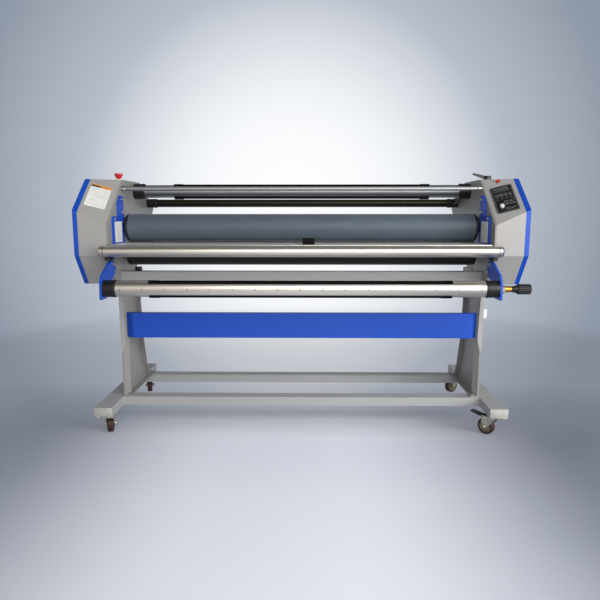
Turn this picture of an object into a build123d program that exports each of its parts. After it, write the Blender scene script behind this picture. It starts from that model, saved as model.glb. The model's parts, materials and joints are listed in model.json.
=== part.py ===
from build123d import *
import math
import os

# Cold roll laminator, 1.6 m class, on a wheeled floor frame.
# Millimetres. +X is the operator's right, -Y the feed side, +Z up, floor at Z = 0.
# Y is measured from the middle of the two foot beams; save() then moves the whole
# machine by Y_SHIFT so that the origin lies under the middle of its bounding box.

Y_SHIFT = 29.0

# ---- floor frame -------------------------------------------------------------
FOOT_IN = 826.0
FOOT_WIDTH = 77.0
FOOT_HALF_LENGTH = 366.0
BEAM_BOTTOM = 97.0
BEAM_TOP = 137.0
TUBE_WALL = 3.0
FRONT_BEAM_Y = (-211.0, -150.0)
REAR_BEAM_Y = (148.0, 209.0)

# ---- side frames (leg and head cut from one plate) ---------------------------
PLATE_IN = 818.0
PLATE_T = 8.0
PLATE_OUT = PLATE_IN + PLATE_T
LEG_FRONT = -198.0
LEG_TOP = 700.0
FLANGE_IN = 799.0
FLANGE_T = 5.0
FLANGE_TOP = 668.0
FLANGE_REAR = -172.0
FOOT_PLATE_IN = 786.0
PANEL_Z = (414.0, 528.0)
LEG_REAR = [(36.0, 660.0), (40.0, 540.0), (62.0, 350.0), (110.0, 205.0), (152.0, BEAM_TOP)]

# ---- casings over the side frames --------------------------------------------
COVER_OUT = 964.5
COVER_T = 20.0
CASING_OUT = COVER_OUT - COVER_T
SHEET = 2.0
TOP_Z = 1131.0
HEAD_FRONT = -330.0
TOP_FRONT = -166.0
FOLD_OUT_Z = 993.0
FOLD_IN_Z = 930.0
HEAD = [
    (-238.0, 669.0),
    (HEAD_FRONT, 800.0),
    (HEAD_FRONT, TOP_Z),
    (169.0, TOP_Z),
    (404.0, 1006.0),
    (372.0, 972.0),
    (372.0, 800.0),
    (330.0, 725.0),
    (62.0, 725.0),
    (36.0, 669.0),
]

# ---- nip rollers -------------------------------------------------------------
NIP_Z = 852.0
NIP_GAP = 0.3
ROLLER_Y = -99.0
UPPER_R = 62.0
LOWER_R = 55.0
UPPER_Z = NIP_Z + NIP_GAP / 2 + UPPER_R
LOWER_Z = NIP_Z - NIP_GAP / 2 - LOWER_R
SLEEVE_HALF = 788.0
RIM_HALF = 799.0
JOURNAL_R = 20.0
LIFT = 28.0
RUN = 0.05

# ---- roll shafts (axis Y, axis Z, tube radius, hub radius) -------------------
SUPPLY = (80.0, 1085.0, 31.0, 37.0)
REAR = (296.0, 1032.0, 20.0, 23.0)
LOWER = (-425.0, 671.5, 34.0, 35.5)
SUPPLY_HUB_IN = 764.0
REAR_HUB_IN = 764.0
LOWER_HUB_IN = 756.0
STUB_R = 12.0
GRIP_HALF = 620.0
GRIP_WIDTH = 18.0
GRIP_DEPTH = 3.0
GRIP_CLAMP = 44.0
GRIP_CLAMP_R = 37.5
GRIP_STEP = 120.0
SUPPLY_GRIP = (52.0, 4.0)
LOWER_GRIP = (57.0, 2.0)

# ---- arms and guard plates on the inner faces --------------------------------
ARM_IN = 809.0
GUARD_IN = 810.0

# ---- feed table --------------------------------------------------------------
TABLE_Z = 847.0
TABLE_HALF = 806.0
TABLE_REAR = -135.0
NOSE_Y = -366.0
NOSE_Z = 820.5
NOSE_R = 23.0
NOSE_HALF = 840.0
SENSOR_X = (8.0, 60.0)
SENSOR_Y = (-338.0, -312.0)
SENSOR_TOP = 874.5

# ---- drive -------------------------------------------------------------------
CHAIN_X = 907.0
CHAIN_PITCH = 12.7
DRIVEN_TEETH = 25
DRIVER_TEETH = 15
MOTOR_Y = 120.0
MOTOR_Z = 790.0

# ---- controls ----------------------------------------------------------------
ESTOP = (-868.0, 0.0)
VALVE = (865.0, -40.0)
PANEL_SIZE = (92.0, 171.0)
PANEL_T = 3.0

# ---- casters -----------------------------------------------------------------
WHEEL_R = 37.5
WHEEL_W = 26.0
TRAIL = 30.0
CASTER_X = 853.0
CASTER_Y = 320.0
CASTERS = {
    "front_left": (-CASTER_X, -CASTER_Y, 105.0),
    "front_right": (CASTER_X, -CASTER_Y, 130.0),
    "rear_left": (-CASTER_X, CASTER_Y, 286.0),
    "rear_right": (CASTER_X, CASTER_Y, 215.0),
}
PIVOT_HOLE_R = 6.0
AXLE_R = 4.0
PEDAL_PIN = (40.0, 81.0)
PEDAL_PIN_R = 2.5


# ---- helpers -----------------------------------------------------------------
def block(x, y, z):
    """Box between two limits on each axis."""
    centre = ((x[0] + x[1]) / 2, (y[0] + y[1]) / 2, (z[0] + z[1]) / 2)
    return Pos(*centre) * Box(x[1] - x[0], y[1] - y[0], z[1] - z[0])


def rod_x(x, y, z, radius):
    """Cylinder along X between the two limits in x."""
    turned = Location(((x[0] + x[1]) / 2, y, z), (0, 90, 0))
    return turned * Cylinder(radius, abs(x[1] - x[0]))


def rod_z(x, y, z, radius):
    """Upright cylinder between the two limits in z."""
    return Pos(x, y, (z[0] + z[1]) / 2) * Cylinder(radius, z[1] - z[0])


def plate_x(points, x):
    """Plate with its outline in the YZ plane, between the two limits in x."""
    outline = Polyline(*[(x[0], y, z) for y, z in points], close=True)
    return extrude(make_face(outline), amount=x[1] - x[0], dir=(1, 0, 0))


def mirrored(part):
    return mirror(part, about=Plane.YZ)


def pair(part):
    """The part and its mirror image on the other side of the machine."""
    return [part, mirrored(part)]


def save(name, parts):
    """Write one sub-part, moved to the origin under the bounding box's middle."""
    group = parts if isinstance(parts, list) else [parts]
    solids = [solid for part in group for solid in part.solids()]
    moved = [Pos(0, Y_SHIFT, 0) * solid for solid in solids]
    shape = moved[0] if len(moved) == 1 else Compound(moved)
    export_step(shape, os.path.join("parts", f"{name}.step"))


# ---- sloping control face ----------------------------------------------------
def control_plane(inset=0.0):
    """Plane of the sloping face on the right; it leans back and towards the rollers."""
    outer_low = Vector(COVER_OUT, HEAD_FRONT, FOLD_OUT_Z)
    outer_high = Vector(COVER_OUT, TOP_FRONT, TOP_Z)
    inner_low = Vector(PLATE_OUT, HEAD_FRONT, FOLD_IN_Z)
    up_the_face = (outer_high - outer_low).normalized()
    normal = (outer_low - inner_low).cross(up_the_face).normalized()
    across = up_the_face.cross(normal)
    return Plane(outer_low - normal * inset, x_dir=across, z_dir=normal)


def on_control_face(x, y):
    """Plane touching the control face at the point with this x and y."""
    face = control_plane()
    n = face.z_dir
    o = face.origin
    z = o.Z - (n.X * (x - o.X) + n.Y * (y - o.Y)) / n.Z
    return Plane((x, y, z), x_dir=face.x_dir, z_dir=n)


def above_control_face(inset=0.0):
    return control_plane(inset) * Pos(0, 0, 400) * Box(1600, 1600, 800)


# ---- side frames and casings -------------------------------------------------
def head_solid(x, inset=0.0):
    """The head's profile as a solid block, with the sloping face cut."""
    outline = make_face(Polyline(*[(x[0], y, z) for y, z in HEAD], close=True))
    if inset:
        outline = offset(outline, amount=-inset, kind=Kind.INTERSECTION)
    solid = extrude(outline, amount=x[1] - x[0], dir=(1, 0, 0))
    return solid - above_control_face(inset)


def arm_lug():
    """Ear of the side plate that reaches forward behind the lower arm's bolts."""
    return plate_x(
        [(-330, 800), (-330, 752), (-300, 712), (-238, 690), (-220, 800)],
        (PLATE_IN, PLATE_OUT),
    )


def leg_outline():
    front = [(LEG_FRONT, BEAM_TOP), (LEG_FRONT, LEG_TOP), (LEG_REAR[0][0], LEG_TOP)]
    return front + LEG_REAR


def front_flange():
    """Flange folded inwards and back from the leg's front edge."""
    front = [(PLATE_IN, LEG_FRONT), (FLANGE_IN, FLANGE_REAR)]
    back = [(FLANGE_IN, FLANGE_REAR + FLANGE_T + 2), (PLATE_IN, LEG_FRONT + FLANGE_T + 2)]
    outline = Polyline(*[(x, y, BEAM_TOP) for x, y in front + back], close=True)
    return extrude(make_face(outline), amount=FLANGE_TOP - BEAM_TOP, dir=(0, 0, 1))


def rear_flange():
    inner = [(y - FLANGE_T, z) for y, z in LEG_REAR]
    return plate_x(LEG_REAR + inner[::-1], (FLANGE_IN, PLATE_IN))


def side_frame():
    """Right-hand side frame: web, two leg flanges and a foot plate, welded."""
    web = plate_x(leg_outline(), (PLATE_IN, PLATE_OUT))
    web += head_solid((PLATE_IN, PLATE_OUT)) + arm_lug()
    foot_plate = block((FOOT_PLATE_IN, PLATE_OUT), (LEG_FRONT, 205), (BEAM_TOP, BEAM_TOP + 6))
    frame = web + front_flange() + rear_flange() + foot_plate
    frame -= rod_x((PLATE_IN - 1, PLATE_OUT + 1), ROLLER_Y, LOWER_Z, JOURNAL_R + 2)
    frame -= lift_slot()
    for hole in right_bolt_holes():
        frame -= hole
    return frame


def lift_slot():
    """Upright slot that lets the upper journal rise."""
    width = 2 * (JOURNAL_R + 2)
    x = (PLATE_IN - 1, PLATE_OUT + 1)
    slot = block(x, (ROLLER_Y - width / 2, ROLLER_Y + width / 2), (UPPER_Z, UPPER_Z + LIFT))
    slot += rod_x(x, ROLLER_Y, UPPER_Z, width / 2)
    slot += rod_x(x, ROLLER_Y, UPPER_Z + LIFT, width / 2)
    return slot


def casing():
    """Folded sheet wrapped round the head, open towards plate and side cover."""
    x = (PLATE_OUT, CASING_OUT)
    return head_solid(x) - head_solid((x[0] - 1, x[1] + 1), SHEET)


def side_cover():
    """Blue tray that closes the outer side of the casing."""
    shell = head_solid((CASING_OUT, COVER_OUT))
    return shell - head_solid((CASING_OUT - 1, COVER_OUT - SHEET), SHEET)


def casing_right():
    valve_hole = rod_z(*VALVE, (TOP_Z - 10, TOP_Z + 10), 7)
    return casing() - valve_hole - button_hole()


def casing_left():
    estop_hole = rod_z(*ESTOP, (TOP_Z - 10, TOP_Z + 10), 11)
    inlet_hole = block((-915, -875), (365, 380), (848, 872))
    return mirrored(casing()) - estop_hole - inlet_hole


# ---- floor frame -------------------------------------------------------------
def box_tube(x, y, z, axis):
    """Rectangular tube; axis says which way its open ends face."""
    inner = [(low + TUBE_WALL, high - TUBE_WALL) for low, high in (x, y, z)]
    limits = (x, y, z)[axis]
    inner[axis] = (limits[0] - 1, limits[1] + 1)
    return block(x, y, z) - block(*inner)


def foot_beam():
    x = (FOOT_IN, FOOT_IN + FOOT_WIDTH)
    z = (BEAM_BOTTOM, BEAM_TOP)
    beam = box_tube(x, (-FOOT_HALF_LENGTH, FOOT_HALF_LENGTH), z, 1)
    for end in (-1, 1):
        y = sorted((end * FOOT_HALF_LENGTH, end * (FOOT_HALF_LENGTH - TUBE_WALL)))
        beam += block(x, y, z)
    for hole in caster_bolt_holes():
        beam -= hole
    return beam


def cross_beam(y):
    beam = box_tube((-FOOT_IN, FOOT_IN), y, (BEAM_BOTTOM, BEAM_TOP), 0)
    for hole in foot_plate_holes():
        beam -= hole
        beam -= mirrored(hole)
    return beam


def cross_member():
    """Folded channel that ties the two side frames under the rollers."""
    x = (-PLATE_IN, PLATE_IN)
    channel = block(x, (-185, -135), (672, 718))
    channel -= block((x[0] - 1, x[1] + 1), (-182, -134), (675, 715))
    for side in (-1, 1):
        tab_x = sorted((side * PLATE_IN, side * (PLATE_IN - 4)))
        tab = block(tab_x, (-182, -135), (675, 715))
        channel += tab - rod_x((side * 800, side * 830), -158, 695, 4.2)
    return channel


def front_panel():
    """Blue folded panel between the legs, its ends slanting back to the flanges."""
    half = FLANGE_IN
    corners = [(half, -165), (half, -172.5), (half + 3.6, -178), (half - 29, -197)]
    corners += [(-x, y) for x, y in corners[::-1]]
    outline = make_face(Polyline(*[(x, y, PANEL_Z[0]) for x, y in corners], close=True))
    panel = extrude(outline, amount=PANEL_Z[1] - PANEL_Z[0], dir=(0, 0, 1))
    inner_z = (PANEL_Z[0] + SHEET, PANEL_Z[1] - SHEET)
    inner = Pos(0, 0, SHEET) * offset(outline, amount=-SHEET, kind=Kind.INTERSECTION)
    panel -= extrude(inner, amount=inner_z[1] - inner_z[0], dir=(0, 0, 1))
    return panel - block((SHEET - half, half - SHEET), (-175, -160), inner_z)


# ---- feed table --------------------------------------------------------------
def feed_table():
    x = (-TABLE_HALF, TABLE_HALF)
    front = NOSE_Y + NOSE_R + 0.4
    table = block(x, (front, TABLE_REAR), (TABLE_Z - 3, TABLE_Z))
    table += block(x, (front, front + 3), (TABLE_Z - 26, TABLE_Z))
    for side in (-1, 1):
        rib_x = sorted((side * TABLE_HALF, side * (TABLE_HALF - 3)))
        table += block(rib_x, (front, -175), (TABLE_Z - 20, TABLE_Z))
    x, y = SENSOR_X, SENSOR_Y
    cutout = block((x[0] - 0.3, x[1] + 0.3), (y[0] - 0.3, y[1] + 0.3), (TABLE_Z - 10, TABLE_Z + 1))
    return table - cutout


def nose_tube():
    """Round tube along the table's front edge, with rounded end plugs."""
    tube = rod_x((-NOSE_HALF, NOSE_HALF), NOSE_Y, NOSE_Z, NOSE_R)
    tube -= rod_x((-NOSE_HALF + 12, NOSE_HALF - 12), NOSE_Y, NOSE_Z, NOSE_R - 3)
    return chamfer(tube.edges().filter_by(GeomType.CIRCLE).group_by(Axis.X)[-1], 3)


def table_bracket():
    """Black saddle that carries the nose tube on the side plate's front edge."""
    inner = TABLE_HALF + 1
    saddle = block((inner, PLATE_OUT), (-358, HEAD_FRONT), (781, 832))
    saddle += block((inner, PLATE_IN), (-358, -300), (781, 812))
    return saddle - rod_x((inner - 5, PLATE_OUT + 5), NOSE_Y, NOSE_Z, NOSE_R)


def sheet_sensor():
    """Small black block that stands through the table just behind its front lip."""
    body = block(SENSOR_X, SENSOR_Y, (TABLE_Z - 3, SENSOR_TOP))
    body = chamfer(body.edges().group_by(Axis.Z)[-1], 2)
    return body + block((4, 66), (-339, -306), (TABLE_Z - 7, TABLE_Z - 3))


# ---- rollers -----------------------------------------------------------------
def roller_core(z, radius, ends):
    """Steel tube with end plugs and journals; ends are the journal ends in X."""
    core = rod_x((-SLEEVE_HALF, SLEEVE_HALF), ROLLER_Y, z, radius)
    core -= rod_x((-SLEEVE_HALF + 20, SLEEVE_HALF - 20), ROLLER_Y, z, radius - 8)
    return core + rod_x(ends, ROLLER_Y, z, JOURNAL_R)


def upper_roller_core():
    core = roller_core(UPPER_Z, UPPER_R - 6, (-866, 866))
    for side in (-1, 1):
        core += rod_x((side * SLEEVE_HALF, side * RIM_HALF), ROLLER_Y, UPPER_Z, UPPER_R - 1)
    return core


def lower_roller_core():
    core = roller_core(LOWER_Z, LOWER_R - 6, (-862, 862))
    for side in (-1, 1):
        core += rod_x((side * SLEEVE_HALF, side * RIM_HALF), ROLLER_Y, LOWER_Z, LOWER_R - 1)
    return core + rod_x((860, CHAIN_X + 12), ROLLER_Y, LOWER_Z, 12)


def sleeve(z, radius):
    outer = rod_x((-SLEEVE_HALF, SLEEVE_HALF), ROLLER_Y, z, radius)
    return outer - rod_x((-SLEEVE_HALF - 1, SLEEVE_HALF + 1), ROLLER_Y, z, radius - 6)


def lower_bearing():
    housing = block((PLATE_OUT, 851), (ROLLER_Y - 45, ROLLER_Y + 45), (LOWER_Z - 45, LOWER_Z + 45))
    housing = fillet(housing.edges().filter_by(Axis.X), 18)
    return housing - rod_x((820, 860), ROLLER_Y, LOWER_Z, JOURNAL_R + RUN)


def lift_block():
    """Sliding bearing block of the upper roller, with the cylinder's rod."""
    body = block((PLATE_OUT + 2, 868), (ROLLER_Y - 45, ROLLER_Y + 45), (UPPER_Z - 45, UPPER_Z + 45))
    body -= rod_x((820, 880), ROLLER_Y, UPPER_Z, JOURNAL_R + RUN)
    return body + rod_z(848, ROLLER_Y, (UPPER_Z + 40, 1040), 8)


def lift_guides():
    """Gibs either side of each sliding block."""
    z = (850, 1006)
    front = block((PLATE_OUT, 868), (ROLLER_Y - 57, ROLLER_Y - 45.3), z)
    rear = block((PLATE_OUT, 868), (ROLLER_Y + 45.3, ROLLER_Y + 57), z)
    return pair(front) + pair(rear)


def lift_cylinder():
    body = block((PLATE_OUT, 870), (ROLLER_Y - 32, ROLLER_Y + 32), (1010, 1080))
    body = fillet(body.edges().filter_by(Axis.Z), 5)
    return body - rod_z(848, ROLLER_Y, (1000, 1073), 8 + RUN)


# ---- roll shafts -------------------------------------------------------------
def shaft_hub(spec, hub_in, hub_out):
    """Black bearing hub that carries one end of a roll shaft."""
    y, z, _, radius = spec
    hub = rod_x((hub_in, hub_out), y, z, radius)
    hub = chamfer(hub.edges().group_by(Axis.X)[0], 3)
    return hub - rod_x((hub_in - 1, hub_out - 6), y, z, STUB_R + RUN)


def roll_shaft(spec, hub_in, wall):
    """Aluminium tube with end plugs and bearing stubs."""
    y, z, radius, _ = spec
    end = hub_in - 1
    shaft = rod_x((-end, end), y, z, radius)
    shaft -= rod_x((-end + 30, end - 30), y, z, radius - wall)
    return shaft + rod_x((-hub_in - 40, hub_in + 40), y, z, STUB_R)


def grip_strips(spec, turn, proud):
    """Rubber strips let into the tube, a third of a turn apart, with end clamps."""
    y, z, radius, _ = spec
    strips = []
    for step in range(3):
        place = Location((0, y, z), (180 - turn - step * GRIP_STEP, 0, 0))
        half = GRIP_WIDTH / 2
        strip = block((-GRIP_HALF, GRIP_HALF), (radius - GRIP_DEPTH, radius + proud), (-half, half))
        for side in (-1, 1):
            ends = sorted((side * GRIP_HALF, side * (GRIP_HALF - GRIP_CLAMP)))
            strip += block(ends, (radius - GRIP_DEPTH, GRIP_CLAMP_R), (-half, half))
        strips.append(place * strip)
    return strips


def shaft_with_grips(spec, hub_in, grip):
    shaft = roll_shaft(spec, hub_in, 7)
    for strip in grip_strips(spec, *grip):
        shaft -= strip
    return shaft


def lower_arm():
    """Blue plate that reaches forward from the side frame to the lower shaft."""
    outline = [
        (-322, 779),
        (-340, 776),
        (-441, 727),
        (-458, 700),
        (-462, 634),
        (-452, 628),
        (-398, 628),
        (-386, 690),
        (-316, 700),
        (-268, 738),
        (-300, 777),
    ]
    arm = plate_x(outline, (ARM_IN, PLATE_IN))
    arm -= rod_x((800, 830), LOWER[0], LOWER[1], 6 + RUN)
    for hole in arm_bolt_holes():
        arm -= hole
    return arm


def tension_collar():
    """Brass friction collar with its steel nut, against the right arm."""
    collar = rod_x((PLATE_IN, 840), LOWER[0], LOWER[1], 14)
    collar += rod_x((840, 861), LOWER[0], LOWER[1], 13)
    return collar - rod_x((PLATE_IN - 1, 870), LOWER[0], LOWER[1], 6 + RUN)


def tension_knob():
    """Fluted hand knob with a flared neck and a spindle through the collar."""
    y, z = LOWER[0], LOWER[1]
    knob = rod_x((888, 941), y, z, 21.5)
    knob = fillet(knob.edges(), 3)
    for step in range(12):
        angle = math.radians(30 * step)
        flute = (y + 24.5 * math.cos(angle), z + 24.5 * math.sin(angle))
        knob -= rod_x((880, 950), *flute, 5)
    neck = Location((875, y, z), (0, 90, 0)) * Cone(11, 17, 26.6)
    return knob + neck + rod_x((ARM_IN + 1, 880), y, z, 6)


# ---- arms, guards and labels -------------------------------------------------
def guard_plate():
    """Blue plate beside the nip, wide below and narrow above."""
    outline = [
        (-275, 832),
        (-275, 955),
        (-264, 966),
        (-200, 966),
        (-200, 1022),
        (-172, 1056),
        (-128, 1056),
        (-128, 832),
    ]
    guard = plate_x(outline, (GUARD_IN, PLATE_IN))
    for hole in guard_bolt_holes():
        guard -= hole
    return guard


def label_plates():
    """Thin plates: one beside each guard's nip and one on the left control face."""
    guard_label = block((GUARD_IN - 0.8, GUARD_IN), (-258, -164), (852, 943))
    face = on_control_face(890.5, -218.5)
    casing_label = face * Pos(0, 0, 0.4) * Box(88, 148, 0.8)
    return pair(guard_label) + [mirrored(casing_label)]


def guide_bar():
    bar = rod_x((-PLATE_IN, PLATE_IN), -124, 1089.5, 10)
    for side in (-1, 1):
        bar -= rod_x((side * 790, side * 820), -124, 1089.5, 4.2)
    return bar


# ---- drive -------------------------------------------------------------------
def pitch_radius(teeth):
    return CHAIN_PITCH / (2 * math.sin(math.pi / teeth))


def sprocket(teeth, y, z, bore):
    """Plate wheel with a round seat for each chain roller."""
    radius = pitch_radius(teeth)
    wheel = rod_x((CHAIN_X - 3, CHAIN_X + 3), y, z, radius + 5)
    for tooth in range(teeth):
        angle = 2 * math.pi * tooth / teeth
        seat = (y + radius * math.cos(angle), z + radius * math.sin(angle))
        wheel -= rod_x((CHAIN_X - 4, CHAIN_X + 4), *seat, 4.2)
    hub = rod_x((CHAIN_X - 8, CHAIN_X + 8), y, z, bore + 6)
    return wheel + hub - rod_x((CHAIN_X - 20, CHAIN_X + 20), y, z, bore)


def belt_outline(grow, x):
    """Solid swept by both sprockets' pitch circles, grown, and what lies between."""
    driver = pitch_radius(DRIVER_TEETH) + grow
    driven = pitch_radius(DRIVEN_TEETH) + grow
    dy = ROLLER_Y - MOTOR_Y
    dz = LOWER_Z - MOTOR_Z
    gap = math.hypot(dy, dz)
    along = math.atan2(dz, dy)
    lean = math.acos((driver - driven) / gap)
    corners = []
    for side in (1, -1):
        angle = along + side * lean
        near = (MOTOR_Y + driver * math.cos(angle), MOTOR_Z + driver * math.sin(angle))
        far = (ROLLER_Y + driven * math.cos(angle), LOWER_Z + driven * math.sin(angle))
        corners += [near, far] if side == 1 else [far, near]
    solid = plate_x(corners, x)
    solid += rod_x(x, MOTOR_Y, MOTOR_Z, driver)
    return solid + rod_x(x, ROLLER_Y, LOWER_Z, driven)


def drive_chain():
    """Chain as two runs of side plates, with rollers between them on the straights."""
    chain = None
    for low, high in ((-5.2, -4), (4, 5.2)):
        x = (CHAIN_X + low, CHAIN_X + high)
        loop = belt_outline(5, x) - belt_outline(-5, (x[0] - 1, x[1] + 1))
        chain = loop if chain is None else chain + loop
    for y, z in straight_pins():
        chain += rod_x((CHAIN_X - 5, CHAIN_X + 5), y, z, 3)
    return chain


def straight_pins():
    """Centres of the rollers on the two straight runs, clear of both sprockets."""
    driver = pitch_radius(DRIVER_TEETH)
    driven = pitch_radius(DRIVEN_TEETH)
    dy = ROLLER_Y - MOTOR_Y
    dz = LOWER_Z - MOTOR_Z
    along = math.atan2(dz, dy)
    lean = math.acos((driver - driven) / math.hypot(dy, dz))
    pins = []
    for side in (1, -1):
        angle = along + side * lean
        for step in range(3, 15):
            share = step / 17
            radius = driver + share * (driven - driver)
            y = MOTOR_Y + share * dy + radius * math.cos(angle)
            z = MOTOR_Z + share * dz + radius * math.sin(angle)
            pins.append((y, z))
    return pins


def drive_motor():
    """Worm gearbox on the side plate with its motor lying towards the rear."""
    gearbox = block((PLATE_OUT, 894), (MOTOR_Y - 45, MOTOR_Y + 45), (MOTOR_Z - 45, MOTOR_Z + 45))
    gearbox = fillet(gearbox.edges().filter_by(Axis.X), 10)
    motor = Location((866, (MOTOR_Y + 333) / 2 + 20, MOTOR_Z), (90, 0, 0)) * Cylinder(36, 173)
    boss = rod_x((890, 897), MOTOR_Y, MOTOR_Z, 20)
    return gearbox + motor + boss - rod_x((850, 900), MOTOR_Y, MOTOR_Z, 8 + RUN)


def drive_sprocket():
    wheel = sprocket(DRIVER_TEETH, MOTOR_Y, MOTOR_Z, 8)
    return wheel + rod_x((855, CHAIN_X + 10), MOTOR_Y, MOTOR_Z, 8)


def control_board():
    """Motor controller in its tray on the left side plate."""
    tray = block((-PLATE_OUT - 3, -PLATE_OUT), (120, 320), (760, 930))
    board = block((-PLATE_OUT - 8, -PLATE_OUT - 3), (130, 310), (770, 920))
    transformer = block((-PLATE_OUT - 55, -PLATE_OUT - 8), (150, 220), (790, 860))
    relays = block((-PLATE_OUT - 30, -PLATE_OUT - 8), (240, 300), (790, 900))
    return tray + board + transformer + relays


# ---- controls ----------------------------------------------------------------
def power_button_plane():
    return on_control_face(884, -137)


def button_hole():
    return power_button_plane() * Cylinder(6, 20)


def power_button():
    """Round red push button on the control face."""
    cap = Pos(0, 0, 4.5) * Cylinder(8, 4)
    stem = Pos(0, 0, -4) * Cylinder(5.5, 15)
    return power_button_plane() * (cap + stem)


def control_panel():
    """Black membrane panel with the speed knob's bearing hole."""
    face = on_control_face(884.5, -229.5)
    plate = face * Pos(0, 0, PANEL_T / 2) * Box(*PANEL_SIZE, PANEL_T)
    plate = fillet(plate.edges().filter_by(Axis(face.origin, face.z_dir)), 8)
    return plate - knob_plane() * Cylinder(3 + RUN, 20)


def knob_plane():
    return on_control_face(866, -264)


def speed_knob():
    cap = Pos(0, 0, PANEL_T + 0.4 + 6) * Cone(8.5, 7.5, 12)
    stem = Pos(0, 0, 2.2) * Cylinder(3, 3.6)
    return knob_plane() * (cap + stem)


def estop_base():
    x, y = ESTOP
    base = rod_z(x, y, (TOP_Z, TOP_Z + 7), 17)
    base += rod_z(x, y, (TOP_Z - 45, TOP_Z + 1), 10.8)
    return base - rod_z(x, y, (TOP_Z - 30, TOP_Z + 10), 4 + RUN)


def estop_head():
    """Red mushroom head: wide thin cap on a tapered neck, and its stem."""
    x, y = ESTOP
    cap = rod_z(x, y, (TOP_Z + 25, TOP_Z + 35), 20)
    cap = fillet(cap.edges(), 4)
    neck = Pos(x, y, TOP_Z + 20) * Cone(12.5, 17, 16)
    return cap + neck + rod_z(x, y, (TOP_Z - 20, TOP_Z + 15), 4)


def valve_body():
    x, y = VALVE
    body = block((x - 20, x + 20), (y - 20, y + 20), (TOP_Z - 50, TOP_Z - SHEET))
    return body - rod_z(x, y, (TOP_Z - 35, TOP_Z), 5 + RUN)


def valve_lever():
    """Hand valve's lever, pointing in over the rollers."""
    x, y = VALVE
    hub = rod_z(x, y, (TOP_Z + 0.4, TOP_Z + 20), 17)
    hub = fillet(hub.edges().group_by(Axis.Z)[-1], 3)
    arm = Polyline(
        (x - 10, y, TOP_Z + 8),
        (x - 10, y, TOP_Z + 20),
        (x - 66, y, TOP_Z + 33),
        (x - 68, y, TOP_Z + 26),
        (x - 20, y, TOP_Z + 8),
        close=True,
    )
    blade = Pos(0, -6, 0) * extrude(make_face(arm), amount=12, dir=(0, 1, 0))
    return hub + blade + rod_z(x, y, (TOP_Z - 30, TOP_Z + 5), 5)


def power_inlet():
    """Mains inlet through the rear wall of the left casing."""
    flange = block((-920, -870), (372, 375), (840, 880))
    body = block((-914.8, -875.2), (345, 373), (848.2, 871.8))
    mouth = block((-908, -882), (352, 376), (853, 867))
    return flange + body - mouth


# ---- bolts -------------------------------------------------------------------
ARM_BOLTS = [(-312.0, 764.0), (-284.0, 730.0)]
GUARD_BOLTS = [(-152.0, 1040.0), (-152.0, 985.0), (-250.0, 955.0)]
FOOT_BOLTS = [(797.0, -190.0), (809.0, -160.0), (804.0, 165.0), (804.0, 192.0)]
CASTER_BOLT_OFFSETS = [(-19.0, -24.0), (-19.0, 24.0), (19.0, -24.0), (19.0, 24.0)]
CASTER_PLATE_HALF = (27.0, 33.0)
CASTER_PLATE_Z = (93.0, BEAM_BOTTOM)
BOLT_R = 4.0
HOLE_R = 4.2


def arm_bolt_holes():
    return [rod_x((800, 830), y, z, HOLE_R) for y, z in ARM_BOLTS]


def guard_bolt_holes():
    return [rod_x((800, 830), y, z, HOLE_R) for y, z in GUARD_BOLTS]


def foot_plate_holes():
    z = (BEAM_TOP - TUBE_WALL - 1, BEAM_TOP + 10)
    return [rod_z(x, y, z, HOLE_R) for x, y in FOOT_BOLTS]


def right_bolt_holes():
    bar_hole = rod_x((810, 830), -124, 1089.5, HOLE_R)
    member_hole = rod_x((810, 830), -158, 695, HOLE_R)
    return arm_bolt_holes() + guard_bolt_holes() + foot_plate_holes() + [bar_hole, member_hole]


def caster_bolt_spots():
    return [
        (CASTER_X + dx, side * CASTER_Y + dy)
        for side in (-1, 1)
        for dx, dy in CASTER_BOLT_OFFSETS
    ]


def caster_bolt_holes():
    z = (CASTER_PLATE_Z[0] - 1, BEAM_BOTTOM + TUBE_WALL + 1)
    return [rod_z(x, y, z, HOLE_R) for x, y in caster_bolt_spots()]


def hex_bolt(length, head=5.0):
    """Bolt with its head below Z = 0 and its shank rising from there."""
    hexagon = extrude(RegularPolygon(6.5, 6, major_radius=False), amount=head)
    return Pos(0, 0, -head) * hexagon + Pos(0, 0, length / 2) * Cylinder(BOLT_R, length)


def hex_bolts():
    """All hexagon bolts of the right half, and their mirror images."""
    outwards = (0, 90, 0)
    inwards = (0, -90, 0)
    down = (180, 0, 0)
    bolts = [Location((ARM_IN, y, z), outwards) * hex_bolt(17) for y, z in ARM_BOLTS]
    bolts += [Location((GUARD_IN, y, z), outwards) * hex_bolt(16) for y, z in GUARD_BOLTS]
    bolts.append(Location((PLATE_OUT, -124, 1089.5), inwards) * hex_bolt(30))
    bolts.append(Location((PLATE_OUT, -158, 695), inwards) * hex_bolt(14))
    bolts += [Location((x, y, BEAM_TOP + 6), down) * hex_bolt(9) for x, y in FOOT_BOLTS]
    bolts += [Pos(x, y, CASTER_PLATE_Z[0]) * hex_bolt(7, 4) for x, y in caster_bolt_spots()]
    return bolts + [mirrored(bolt) for bolt in bolts]


# ---- casters -----------------------------------------------------------------
def caster_place(name):
    """Local frame of one caster: X along its trail, Y along its axle."""
    x, y, heading = CASTERS[name]
    return Location((x, y, 0), (0, 0, heading))


def caster_plate(name):
    x, y, _ = CASTERS[name]
    half_x, half_y = CASTER_PLATE_HALF
    plate = block((x - half_x, x + half_x), (y - half_y, y + half_y), CASTER_PLATE_Z)
    plate = fillet(plate.edges().filter_by(Axis.Z), 6)
    for dx, dy in CASTER_BOLT_OFFSETS:
        plate -= rod_z(x + dx, y + dy, (90, 100), HOLE_R)
    plate += rod_z(x, y, (86, CASTER_PLATE_Z[0] + 1), 17)
    return plate - rod_z(x, y, (80, 100), PIVOT_HOLE_R + RUN)


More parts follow.
